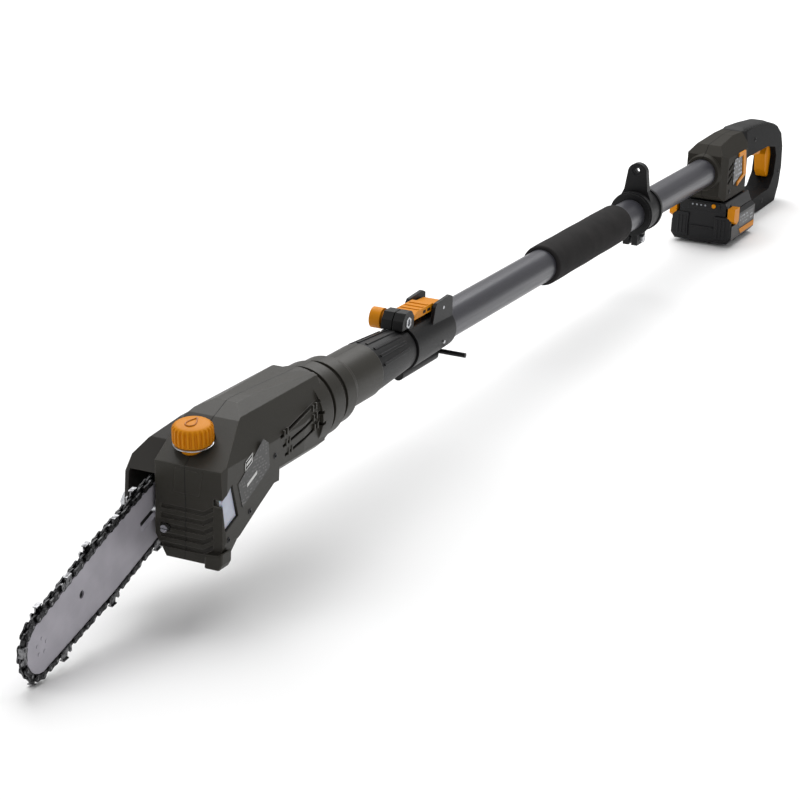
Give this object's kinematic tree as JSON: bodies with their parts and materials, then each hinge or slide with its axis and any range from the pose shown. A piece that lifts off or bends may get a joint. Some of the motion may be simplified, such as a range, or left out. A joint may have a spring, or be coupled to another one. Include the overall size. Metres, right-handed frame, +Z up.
{
  "type": "telescoping pole saw",
  "caption": "Battery pole saw with a telescoping pole, angled chain-saw head, oil cap, clamp knob, sliding strap ring, D-handle with trigger and slide-off battery pack.",
  "frame": {"origin": "on the pole's axis, 42 mm behind the rear edge of the front collar", "axes": "+Y along the pole to the rear handle, +X to the oil window side, +Z up, away from the battery"},
  "size_m": [0.0948, 1.6305, 0.1675],
  "materials": {
    "tube_paint": "satin grey paint",
    "shell_plastic": "fine moulded grain",
    "black_plastic": "moulded",
    "white_plastic": "plain",
    "orange_plastic": "moulded",
    "foam": "closed cell foam",
    "rubber": "soft overmould",
    "zinc_steel": "zinc plated",
    "bar_steel": "satin ground",
    "chain_steel": "blackened and oiled",
    "black_steel": "black oxide",
    "inner_alu": "drawn",
    "motor_steel": "plated can",
    "copper": "enamelled windings",
    "window": "translucent",
    "label": "printed foil",
    "board": "circuit board",
    "lead_jacket": "jacket",
    "cell_wrap": "shrink sleeve"
  },
  "bodies": {
    "pole": {"outer_tube": "tube_paint", "tube_bushing": "white_plastic", "front_collar": "black_plastic", "collar_screw": "zinc_steel", "latch_pin": "zinc_steel", "latch_spring": "zinc_steel", "clamp_nut": "zinc_steel", "foam_grip": "foam", "handle_near": "shell_plastic", "handle_far": "shell_plastic", "handle_screws": "zinc_steel", "grip_rubber": "rubber", "side_panel": "label", "trim_clip": "orange_plastic", "trigger_pin": "zinc_steel", "switch_block": "black_plastic", "control_board": "board", "handle_lead": "lead_jacket"},
    "latch": {"latch": "orange_plastic"},
    "key": {"hex_key": "black_steel"},
    "knob": {"clamp_bolt": "zinc_steel", "clamp_knob": "orange_plastic"},
    "strap": {"strap_ring": "black_plastic", "strap_bolt": "zinc_steel", "strap_nut": "zinc_steel"},
    "head": {"inner_tube": "inner_alu", "inner_plug": "white_plastic", "clamp_sleeve": "black_plastic", "head_shell_near": "shell_plastic", "head_shell_far": "shell_plastic", "head_screws": "zinc_steel", "sprocket_cover": "shell_plastic", "cover_stud": "zinc_steel", "cover_nut": "zinc_steel", "motor_can": "motor_steel", "shaft_bearings": "zinc_steel", "oil_tank": "white_plastic", "oil_window": "window", "oil_pump": "zinc_steel", "rating_plate": "label"},
    "rotor": {"motor_rotor": "copper", "pinion": "chain_steel"},
    "spindle": {"face_gear": "chain_steel", "output_shaft": "zinc_steel", "sprocket": "chain_steel"},
    "bar": {"guide_bar": "bar_steel", "chain": "chain_steel", "nose_rivets": "zinc_steel", "tension_pin": "zinc_steel"},
    "tension_screw": {"tension_screw": "zinc_steel"},
    "cap": {"oil_cap": "orange_plastic"},
    "trigger": {"trigger": "orange_plastic"},
    "lock_off": {"lock_off": "orange_plastic"},
    "battery": {"battery_case": "black_plastic", "battery_lid": "black_plastic", "battery_cells": "cell_wrap", "gauge_panel": "black_plastic"},
    "gauge_button": {"gauge_button": "orange_plastic"},
    "release_near": {"release_near": "orange_plastic"},
    "release_far": {"release_far": "orange_plastic"}
  },
  "joints": [
    {"name": "head_slide", "type": "slide", "parent": "pole", "child": "head", "axis": [0, -1, 0], "range_m": [0, 0.4]},
    {"name": "latch_press", "type": "hinge", "parent": "pole", "child": "latch", "pos_m": [0, -0.062, 0.024], "axis": [1, 0, 0], "range_deg": [-10, 0], "stiffness_Nm_per_rad": 0.5, "springref_deg": 17.19, "deforming": ["latch_spring"]},
    {"name": "knob_turn", "type": "hinge", "parent": "pole", "child": "knob", "pos_m": [0, -0.126, 0.025], "axis": [1, 0, 0], "range_deg": [0, 720]},
    {"name": "key_pull", "type": "slide", "parent": "pole", "child": "key", "axis": [0, 1, 0], "range_m": [0, 0.06]},
    {"name": "strap_slide", "type": "slide", "parent": "pole", "child": "strap", "axis": [0, -1, 0], "range_m": [0, 0.04]},
    {"name": "rotor_spin", "type": "hinge", "parent": "head", "child": "rotor", "pos_m": [0.004, -0.44, -0.025], "axis": [0, 0.977, 0.213], "continuous": true},
    {"name": "spindle_spin", "type": "hinge", "parent": "head", "child": "spindle", "pos_m": [0, -0.44, -0.025], "axis": [1, 0, 0], "continuous": true},
    {"name": "screw_turn", "type": "hinge", "parent": "head", "child": "tension_screw", "pos_m": [-0.016, -0.486, -0.0475], "axis": [0, 1, 0], "range_deg": [0, 1801]},
    {"name": "bar_slide", "type": "slide", "parent": "head", "child": "bar", "axis": [0, -0.9483, -0.3173], "range_m": [-0.005, 0]},
    {"name": "cap_turn", "type": "hinge", "parent": "head", "child": "cap", "pos_m": [-0.003, -0.47, 0.014], "axis": [0, -0.1564, 0.9877], "range_deg": [0, 540]},
    {"name": "trigger_pull", "type": "hinge", "parent": "pole", "child": "trigger", "pos_m": [0, 0.944, -0.013], "axis": [1, 0, 0], "range_deg": [0, 8], "stiffness_Nm_per_rad": 1, "springref_deg": -8.59},
    {"name": "lock_off_press", "type": "slide", "parent": "pole", "child": "lock_off", "axis": [0, 0, 1], "range_m": [0, 0.003], "stiffness_N_per_m": 400, "springref_m": -0.003},
    {"name": "battery_slide", "type": "slide", "parent": "pole", "child": "battery", "axis": [0, -1, 0], "range_m": [0, 0.07]},
    {"name": "gauge_button_press", "type": "slide", "parent": "battery", "child": "gauge_button", "axis": [0, 1, 0], "range_m": [0, 0.0008], "stiffness_N_per_m": 300, "springref_m": -0.0008},
    {"name": "release_near_press", "type": "slide", "parent": "battery", "child": "release_near", "axis": [-1, 0, 0], "range_m": [0, 0.002], "stiffness_N_per_m": 500, "springref_m": -0.002},
    {"name": "release_far_press", "type": "slide", "parent": "battery", "child": "release_far", "axis": [1, 0, 0], "range_m": [0, 0.002], "stiffness_N_per_m": 500, "springref_m": -0.002}
  ],
  "couplings": [
    {"joint": "spindle_spin", "follows": "rotor_spin", "ratio": 0.33333},
    {"joint": "screw_turn", "follows": "bar_slide", "rad_per_m": -6283.2}
  ]
}
